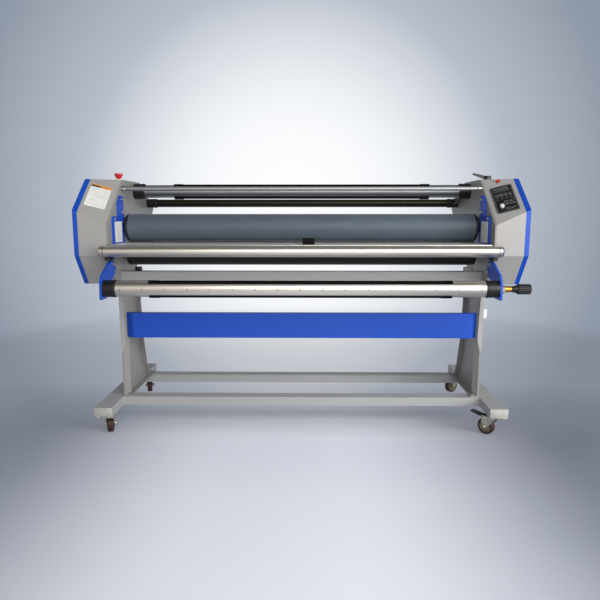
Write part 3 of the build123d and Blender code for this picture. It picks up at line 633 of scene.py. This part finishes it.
def hub_set_screws():
    """Set screw and turned step on each black hub of the three shafts."""
    screw = [(-0.002, 0.004), (0.0005, 0.004), (0.0005, 0.0026), (-0.0015, 0.0024), (-0.0015, 0.0)]
    bm = bmesh.new()
    for x, y, z, radius in HUBS:
        step = ring_profile(0.0, 0.004, radius - 0.0005, radius + 0.0009)
        add_lathe_pair(bm, towards_front(x + 0.024, y - radius, z), screw, 20)
        add_lathe_pair(bm, along_x(x + 0.008, y, z), step, 56)
    piece("hub_set_screws", bm, "frame", "black_plastic")


def guide_bar_collars():
    """Bright clamp ring at each end of the thin guide bar."""
    y, z, radius, _ = tube_line("guide_bar")
    ring = ring_profile(0.0, 0.009, radius - 0.001, radius + 0.003, 0.0008)
    bm = bmesh.new()
    add_lathe_pair(bm, along_x(0.8, y, z), ring, 40)
    piece("guide_bar_collars", bm, "frame", "zinc_steel")


def hub_link():
    """Black strap that ties the right-hand supply and rear hubs together."""
    (_, supply_y, supply_z, supply_radius), (_, rear_y, rear_z, rear_radius), _ = HUBS
    x = 0.797
    start, end = Vector((x, supply_y, supply_z)), Vector((x, rear_y, rear_z))
    along = end - start
    across = Vector((1.0, 0.0, 0.0))
    axes = (along.normalized(), across.cross(along).normalized(), across)
    place = Matrix.Translation(start) @ Matrix(axes).transposed().to_4x4()
    half_height, half_thickness = 0.014, 0.008
    overlap = 0.001
    near = (supply_radius - overlap, -half_height, -half_thickness)
    far = (along.length - rear_radius + overlap, half_height, half_thickness)
    bm = bmesh.new()
    add_slab(bm, near, far, 0.0015, place)
    piece("hub_link", bm, "frame", "black_plastic")


def collar_nut():
    """Steel nut and washer on the brass friction collar."""
    y, z, _, _ = tube_line("tension_collar")
    bore = 0.0138
    place = along_x(0.8185, y, z)
    bm = bmesh.new()
    add_lathe(bm, place, ring_profile(0.0, 0.0024, bore, 0.0168), 40)
    add_lathe(bm, place, ring_profile(0.003, 0.017, bore, 0.0172, 0.0012), 6)
    piece("collar_nut", bm, "frame", "zinc_steel")


# ---- control faces ------------------------------------------------------------------
def face_frame(x, y):
    """Frame on the right control face: Y up the face, Z out of it."""
    up = (FACE_TOP - FACE_CORNER).normalized()
    out = (FACE_CORNER - FACE_INNER).cross(up).normalized()
    across = up.cross(out)
    z = FACE_CORNER.z - (out.x * (x - FACE_CORNER.x) + out.y * (y - FACE_CORNER.y)) / out.z
    turn = Matrix((across, up, out)).transposed().to_4x4()
    return Matrix.Translation((x, y, z)) @ turn


def panel_print():
    """Generic print on the control panel: a border, rows of dashes and the knob's ticks."""
    rng = random.Random(11)
    place = face_frame(*PANEL_CENTRE)
    line, inset = 0.0005, 0.004
    border_x, border_y = (half - inset for half in PANEL_HALF)
    wide_rows = (0.072, 0.0655, 0.028, 0.0215)
    short_rows = (-0.018, -0.026, -0.034, -0.042, -0.062, -0.070)
    bm = bmesh.new()
    for side in SIDES:
        x, y = side * border_x, side * border_y
        add_print(bm, place, x - line, x + line, -border_y, border_y, PANEL_TOP)
        add_print(bm, place, -border_x, border_x, y - line, y + line, PANEL_TOP)
    add_dashes(bm, place, -0.034, 0.034, wide_rows, 0.0016, PANEL_TOP, rng)
    add_dashes(bm, place, -0.006, 0.036, short_rows, 0.0014, PANEL_TOP, rng)
    knob = face_frame(*KNOB_CENTRE)
    for angle in range(-135, 136, 27):
        tick = knob @ Matrix.Rotation(math.radians(angle), 4, "Z")
        add_print(bm, tick, -0.0004, 0.0004, 0.0115, 0.0145, PANEL_TOP)
    piece("panel_print", bm, "frame", "label_white", PRINT_GREY)


def panel_keys():
    """Raised membrane keys and a dark display window."""
    place = face_frame(*PANEL_CENTRE)
    sunk = PANEL_TOP - 0.0004
    half_x, half_y = 0.006, 0.0045
    bm = bmesh.new()
    for x in KEY_COLUMNS:
        for y in (0.012, -0.002):
            near = (x - half_x, y - half_y, sunk)
            add_slab(bm, near, (x + half_x, y + half_y, PANEL_TOP + 0.0006), 0.0005, place)
    piece("panel_keys", bm, "frame", "panel_black", KEY_GREY)
    bm = bmesh.new()
    add_slab(bm, (-0.034, 0.036, sunk), (0.034, 0.058, PANEL_TOP + 0.0005), 0.0004, place)
    piece("panel_display", bm, "frame", "panel_black", DISPLAY)


def panel_lamps():
    """Row of small indicator lamps above the keys."""
    place = face_frame(*PANEL_CENTRE)
    dome = [(-0.0004, 0.0016), (0.0006, 0.0014), (0.0011, 0.0008), (0.0012, 0.0)]
    bm = bmesh.new()
    for x in KEY_COLUMNS:
        add_lathe(bm, place @ Matrix.Translation((x, 0.034, PANEL_TOP)), dome, 16)
    piece("panel_lamps", bm, "frame", "red_plastic")


def knob_pointer():
    """Raised pointer line and ribbed skirt of the speed knob."""
    place = face_frame(*KNOB_CENTRE)
    top = PANEL_TOP + 0.0124
    bm = bmesh.new()
    add_slab(bm, (-0.0007, 0.0, top - 0.0004), (0.0007, 0.0072, top + 0.0005), 0.0002, place)
    for angle in range(0, 360, 15):
        rib = place @ Matrix.Rotation(math.radians(angle), 4, "Z")
        add_slab(bm, (-0.0005, 0.0079, PANEL_TOP + 0.0012), (0.0005, 0.0087, top - 0.003), 0.0002, rib)
    piece("knob_pointer", bm, "speed_dial", "knob_white")


def button_collar():
    """Bright ring round the red power button."""
    bore = 0.0085
    ring = [(0.0, bore), (0.0, 0.0112), (0.0012, 0.0112), (0.0018, 0.0104), (0.0018, 0.0087), (0.0, bore)]
    bm = bmesh.new()
    add_lathe(bm, face_frame(*BUTTON_CENTRE), ring, 40)
    piece("button_collar", bm, "frame", "zinc_steel")


def casing_label_print():
    """Generic print on the left label: an orange band, a dark bar and grey dashes."""
    rng = random.Random(5)
    place = flipped(face_frame(*LABEL_CENTRE))
    half_x, half_y = LABEL_HALF
    margin = 0.0005
    bar_low, bar_high, band_top = 0.056, 0.066, half_y - margin
    bands = (
        ("label_band", -half_x, 0.0, bar_low, band_top, LABEL_ORANGE),
        ("label_band_left", 0.0, half_x, bar_high, band_top, LABEL_ORANGE),
        ("label_bar", 0.0, half_x, bar_low, bar_high, PRINT_BLACK),
    )
    for name, left, right, bottom, top, material in bands:
        bm = bmesh.new()
        add_print(bm, place, left + margin, right - margin, bottom, top, LABEL_TOP)
        piece(name, bm, "frame", "label_white", material)
    top_rows = [0.047 - 0.0068 * step for step in range(5)]
    lower_rows = [0.006, -0.001, -0.026, -0.033, -0.040, -0.052, -0.059]
    side_margin = 0.008
    bm = bmesh.new()
    edges = (side_margin - half_x, half_x - side_margin)
    add_dashes(bm, place, *edges, top_rows + lower_rows, 0.0013, LABEL_TOP, rng)
    piece("label_print", bm, "frame", "label_white", PRINT_GREY)


def guard_label_print():
    """Grey dashes on the two plates beside the nip."""
    rng = random.Random(7)
    surface_x = 0.8092
    front, back, bottom, top = -0.229, -0.135, 0.852, 0.943
    middle_y, middle_z = (front + back) / 2, (bottom + top) / 2
    half_x, half_y = (back - front) / 2, (top - bottom) / 2
    facing = Matrix(((0, 0, -1, surface_x), (-1, 0, 0, middle_y), (0, 1, 0, middle_z), (0, 0, 0, 1)))
    rows = [half_y - 0.012 - 0.0085 * step for step in range(9)]
    bm = bmesh.new()
    for place in (facing, flipped(facing)):
        add_dashes(bm, place, 0.006 - half_x, half_x - 0.030, rows, 0.0012, 0.0, rng)
    piece("guard_label_print", bm, "frame", "label_white", PRINT_GREY)


# ---- small fittings -----------------------------------------------------------------
def leg_socket():
    """White socket on the right leg, with its round opening on the outer side."""
    low, high = (0.826, -0.166, 0.507), (0.8445, -0.126, 0.548)
    ring = [
        (0.0, 0.0125),
        (0.0022, 0.0125),
        (0.0028, 0.0115),
        (0.0028, 0.0095),
        (-0.004, 0.009),
        (-0.004, 0.0),
    ]
    bm = bmesh.new()
    add_slab(bm, low, high, 0.002)
    add_lathe(bm, along_x(high[0], (low[1] + high[1]) / 2, (low[2] + high[2]) / 2), ring, 32)
    piece("leg_socket", bm, "frame", "knob_white")


def member_blocks():
    """Clamp blocks standing on the cross member beside the legs."""
    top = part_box("cross_member")[1].z
    front, back = -0.141, -0.121
    blocks = (
        ("member_block_left", -0.757, -0.729, "black_plastic"),
        ("member_block_right", 0.741, 0.785, "frame_grey"),
    )
    for name, left, right, slot in blocks:
        bm = bmesh.new()
        add_slab(bm, (left, front, top - 0.0005), (right, back, top + 0.020), 0.0012)
        piece(name, bm, "frame", slot)


def sensor_window():
    """Dark lens on the sheet sensor's front and two screws on its top."""
    low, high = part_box("sheet_sensor")
    middle = (low + high) / 2
    front = low.y + 0.001
    half_width = 0.009
    near = (middle.x - half_width, front - 0.0008, high.z - 0.0155)
    far = (middle.x + half_width, front + 0.0004, high.z - 0.0055)
    head = [(-0.0004, 0.003), (0.0008, 0.0026), (0.0008, 0.0012), (0.0002, 0.001), (0.0002, 0.0)]
    bm = bmesh.new()
    add_slab(bm, near, far, 0.0004)
    for x in (middle.x - 0.018, middle.x + 0.018):
        add_lathe(bm, Matrix.Translation((x, middle.y, high.z)), head, 20)
    piece("sensor_window", bm, "frame", "panel_black", MATT_BLACK)


def cover_screws():
    """Countersunk screws on top of the casings, beside the blue side covers."""
    head = [(-0.001, 0.0055), (0.0004, 0.0052), (0.0006, 0.0032), (-0.0008, 0.0024), (-0.0008, 0.0)]
    bm = bmesh.new()
    for x, y in ((0.85, 0.13), (0.92, -0.06), (0.92, 0.13)):
        for side in SIDES:
            add_lathe(bm, Matrix.Translation((side * x, y, CASING_TOP)), head, 20)
    piece("cover_screws", bm, "frame", "zinc_steel")


def estop_ring():
    """Pale ring round the foot of the emergency stop."""
    low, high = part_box("estop_base")
    middle = (low + high) / 2
    ring = [(0.0, 0.0168), (0.0, 0.0215), (0.0009, 0.0215), (0.0012, 0.0205), (0.0012, 0.0168)]
    bm = bmesh.new()
    add_lathe(bm, Matrix.Translation((middle.x, middle.y, CASING_TOP)), ring, 48)
    piece("estop_ring", bm, "frame", "yellow_plastic")


# ---- casters ------------------------------------------------------------------------
def wheel_sides(name):
    """Frames in the middle of a caster's wheel, with Z along its axle, one for each side."""
    low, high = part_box("caster_wheel_" + name)
    heading = Matrix.Rotation(math.radians(CASTER_HEADINGS[name]), 4, "Z")
    middle = Matrix.Translation((low + high) / 2) @ heading
    return [middle @ Matrix.Rotation(-side * math.pi / 2, 4, "X") for side in SIDES]


def wheel_hubs():
    """Ribbed hub plates on both sides of every caster wheel."""
    inside, web, face = 0.0088, 0.0094, 0.0102
    rim = 0.0106
    disc = [
        (inside, 0.0108),
        (face, 0.0108),
        (face, 0.0135),
        (web, 0.015),
        (web, 0.0245),
        (rim, 0.0262),
        (rim, 0.0284),
        (inside, 0.0284),
    ]
    for name in CASTER_HEADINGS:
        bm = bmesh.new()
        for place in wheel_sides(name):
            add_lathe(bm, place, disc, 44)
            for angle in range(0, 360, 45):
                spoke = place @ Matrix.Rotation(math.radians(angle), 4, "Z")
                add_slab(bm, (0.0125, -0.0011, inside), (0.0265, 0.0011, 0.0104), 0.0003, spoke)
        piece("wheel_hub_" + name, bm, "wheel_" + name, "zinc_steel", HUB_BRONZE)


def axle_nuts():
    """Washer, hexagon nut and thread end on both ends of every caster axle."""
    bore = 0.0042
    washer = ring_profile(0.0178, 0.0192, bore, 0.0085)
    nut = [(0.019, bore), (0.019, 0.0072), (0.0235, 0.0072), (0.0246, 0.0062), (0.0246, bore)]
    thread = [(0.0205, 0.0041), (0.0262, 0.0039), (0.0268, 0.0032), (0.0268, 0.0)]
    for name in CASTER_HEADINGS:
        bm = bmesh.new()
        for place in wheel_sides(name):
            add_lathe(bm, place, washer, 32)
            add_lathe(bm, place, nut, 6)
            add_lathe(bm, place, thread, 24)
        piece("axle_nuts_" + name, bm, "caster_" + name, "zinc_steel")


PIECES = (
    foot_end_caps,
    frame_welds,
    leg_edge_strips,
    foot_pads,
    roller_rims,
    nose_tube_ends,
    table_edge_strip,
    lower_shaft_screws,
    hub_set_screws,
    guide_bar_collars,
    hub_link,
    collar_nut,
    panel_print,
    panel_keys,
    panel_lamps,
    knob_pointer,
    button_collar,
    casing_label_print,
    guard_label_print,
    leg_socket,
    member_blocks,
    sensor_window,
    cover_screws,
    estop_ring,
    wheel_hubs,
    axle_nuts,
)

# ---- stage, lights and camera -------------------------------------------------------
# Direction in which the surround is brightest
BACKDROP_CENTRE = (-0.022, 0.9997, 0.006)

# Colours of the surround, from straight opposite that direction (0) to the direction itself (1)
SURROUND = (
    (0.00, srgb(204, 198, 190)),
    (0.50, srgb(166, 168, 172)),
    (0.88, srgb(140, 149, 162)),
    (0.932, srgb(143, 152, 166)),
    (0.968, srgb(182, 189, 201)),
    (0.9935, srgb(247, 249, 252)),
    (1.00, srgb(254, 254, 255)),
)

# Fixed point from which the far floor's directions into the surround are taken
FLOOR_ORIGIN = (0.03, -2.68, 0.975)
FLOOR_RADIUS = 60.0
FLOOR_Z = -0.0005  # just under the wheels
# Floor colours: pale in the middle and darker towards each side as painted shade, then the emission of a
# painted glow in front of the middle and of a dimmer painted glow at the sides
FLOOR_PALE = srgb(214, 218, 226)
FLOOR_LEFT_SHADE = srgb(142, 149, 162)
FLOOR_RIGHT_SHADE = srgb(104, 110, 122)
FLOOR_PAINTED_GLOW = srgb(114, 117, 122)
FLOOR_PAINTED_DIM = srgb(66, 69, 76)
UNLIT = (0.0, 0.0, 0.0, 1.0)

# Where the floor changes, as the start and end of each change: painted shade towards each side, the end
# of the painted glow in front, and the surround's colour coming in behind
SHADE_TO_RIGHT = (0.12, 1.15)
SHADE_TO_LEFT = (0.32, 1.25)
FRONT_GLOW_ENDS = (-0.32, -0.10)
BACKDROP_NEAR = (-0.32, 0.47)  # the surround's colour comes in to NEAR_SHARE
BACKDROP_FAR = (1.3, 3.4)  # and the rest of it
BACKDROP_ROUND = (1.5, 3.4)  # the same in every direction, as a distance
NEAR_SHARE = 0.70

# The surround fades between these heights of the view direction
SURROUND_FADE = {"From Min": 0.35, "From Max": 0.70, "To Min": 1.0, "To Max": 0.16}

CAMERA_PLACE = (0.0265, -2.6781, 0.9754)
CAMERA_TILT = 8.62  # degrees below the horizon
CAMERA_PAN = 0.688  # degrees to the left
CAMERA_LENS = 33.58  # mm, as is the sensor
CAMERA_SENSOR = 36.0
CAMERA_SHIFT = -0.0017


def surround_colour(tree, direction):
    """Studio surround: warm behind the camera, grey at the sides, bright behind the object."""
    toward = tree.nodes.new("ShaderNodeVectorMath")
    toward.operation = "DOT_PRODUCT"
    toward.inputs[1].default_value = BACKDROP_CENTRE
    tree.links.new(direction, toward.inputs[0])
    share = tree.nodes.new("ShaderNodeMapRange")
    share.inputs["From Min"].default_value = -1.0
    tree.links.new(toward.outputs["Value"], share.inputs["Value"])
    ramp = tree.nodes.new("ShaderNodeValToRGB")
    elements = ramp.color_ramp.elements
    while len(elements) < len(SURROUND):
        elements.new(0.5)
    for element, (place, colour) in zip(elements, SURROUND):
        element.position = place
        element.color = colour
    tree.links.new(share.outputs[0], ramp.inputs[0])
    return ramp.outputs[0]


def studio_floor(name):
    """Pale floor with a painted glow in front of the middle, painted shade and a dimmer painted glow
    towards the sides, that turns into the surround's colour far away.
    """
    s = Surface(name, Emission_Strength=1.0, Specular_IOR_Level=0.0)
    x, y = s.axis("X"), s.axis("Y")
    distance = s.vector_maths("LENGTH", s.coords, output="Value")
    direction = s.vector_maths("NORMALIZE", s.vector_maths("SUBTRACT", s.coords, FLOOR_ORIGIN))
    # Painted shade: the floor darkens towards the right and the left
    right = s.blend(x, *SHADE_TO_RIGHT)
    left = s.blend(s.maths("MULTIPLY", x, -1.0), *SHADE_TO_LEFT)
    pale = s.mixed(left, s.mixed(right, FLOOR_PALE, FLOOR_RIGHT_SHADE), FLOOR_LEFT_SHADE)
    pale = s.mixed(s.levels(s.noise(1.5, 4), 0.0, 0.03), pale, srgb(255, 255, 255))
    near = s.levels(y, 0.0, NEAR_SHARE, *BACKDROP_NEAR)
    behind = s.maths("ADD", near, s.levels(y, 0.0, 1.0 - NEAR_SHARE, *BACKDROP_FAR))
    far = s.maths("MAXIMUM", behind, s.blend(distance, *BACKDROP_ROUND))
    # Painted glow in front of the middle, gone under and behind the machine as painted shadow, and a
    # dimmer painted glow at the sides
    painted_glow = s.mixed(s.levels(y, 0.0, 1.0, *FRONT_GLOW_ENDS), FLOOR_PAINTED_GLOW, UNLIT)
    painted_pool = s.mixed(s.maths("MAXIMUM", left, right), painted_glow, FLOOR_PAINTED_DIM)
    emission = s.mixed(far, painted_pool, surround_colour(s.tree, direction))
    s.feed(s.shader.inputs["Emission Color"], emission)
    return s.done(s.mixed(far, pale, UNLIT), s.levels(s.noise(3), 0.75, 0.85))


def make_floor():
    """One wide disc under the wheels."""
    bm = bmesh.new()
    bmesh.ops.create_circle(bm, cap_ends=True, radius=FLOOR_RADIUS, segments=96)
    mesh = bpy.data.meshes.new("studio_floor")
    bm.to_mesh(mesh)
    bm.free()
    mesh.materials.append(studio_floor("studio_floor"))
    floor = bpy.data.objects.new("studio_floor", mesh)
    floor.location.z = FLOOR_Z
    bpy.context.scene.collection.objects.link(floor)


def make_world():
    """Surround seen at eye level, much darker overhead."""
    world = bpy.data.worlds.new("studio")
    bpy.context.scene.world = world
    world.use_nodes = True
    tree = world.node_tree
    direction = tree.nodes.new("ShaderNodeTexCoord").outputs["Generated"]
    height = tree.nodes.new("ShaderNodeSeparateXYZ")
    tree.links.new(direction, height.inputs[0])
    strength = tree.nodes.new("ShaderNodeMapRange")
    for name, value in SURROUND_FADE.items():
        strength.inputs[name].default_value = value
    tree.links.new(height.outputs["Z"], strength.inputs["Value"])
    background = tree.nodes["Background"].inputs
    tree.links.new(surround_colour(tree, direction), background["Color"])
    tree.links.new(strength.outputs[0], background["Strength"])


def soft_light(name, place, target, size, power):
    """Rectangular lamp at a place, turned to a target; power in watts."""
    lamp = bpy.data.lights.new(name, "AREA")
    lamp.shape = "RECTANGLE"
    lamp.size, lamp.size_y = size
    lamp.energy = power
    holder = bpy.data.objects.new(name, lamp)
    holder.location = place
    aim = Vector(target) - Vector(place)
    holder.rotation_euler = aim.to_track_quat("-Z", "Y").to_euler()
    bpy.context.scene.collection.objects.link(holder)


def make_lights():
    """A broad lamp in front, one at the right and a faint one overhead."""
    soft_light("wall", (1.45, -3.6, 2.35), (0.1, 0.0, 0.75), (4.8, 2.9), 142)
    soft_light("side", (3.3, -2.2, 1.2), (0.4, -0.2, 0.7), (1.4, 1.6), 72)
    soft_light("top", (0.0, 0.75, 3.2), (0.0, 0.3, 0.8), (3.8, 0.5), 4.2)


def make_camera():
    """Camera at the photograph's viewing angle."""
    camera = bpy.data.objects.new("camera", bpy.data.cameras.new("camera"))
    camera.location = CAMERA_PLACE
    camera.rotation_euler = (math.radians(90 - CAMERA_TILT), 0.0, math.radians(CAMERA_PAN))
    camera.data.lens = CAMERA_LENS
    camera.data.sensor_width = CAMERA_SENSOR
    camera.data.shift_y = CAMERA_SHIFT
    bpy.context.scene.collection.objects.link(camera)
    bpy.context.scene.camera = camera


make_camera()
make_world()
make_lights()
make_floor()
finish_nodes()
for make in PIECES:
    make()
bpy.context.scene.view_settings.view_transform = "Standard"
